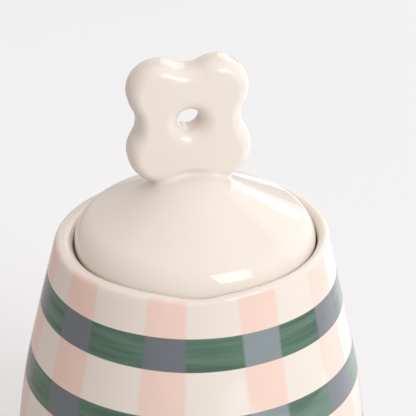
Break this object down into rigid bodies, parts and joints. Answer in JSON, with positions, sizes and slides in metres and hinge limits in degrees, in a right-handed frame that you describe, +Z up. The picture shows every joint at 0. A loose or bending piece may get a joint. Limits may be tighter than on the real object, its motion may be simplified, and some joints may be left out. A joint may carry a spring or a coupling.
{
  "type": "lidded storage jar",
  "caption": "Full-bellied stoneware storage jar with a loose domed lid, a seat ledge in its mouth and a pierced flower-shaped knob.",
  "frame": {"origin": "middle of the foot, on the surface the jar stands on", "axes": "+Z up through the knob, -Y towards the side the knob's face looks at, +X to the right of that face"},
  "size_m": [0.1392, 0.1392, 0.221],
  "materials": {
    "jar_glaze": "glossy cream glaze with painted check bands",
    "lid_glaze": "glossy cream glaze"
  },
  "bodies": {
    "root": {"jar": "jar_glaze", "lid": "lid_glaze"}
  },
  "joints": []
}
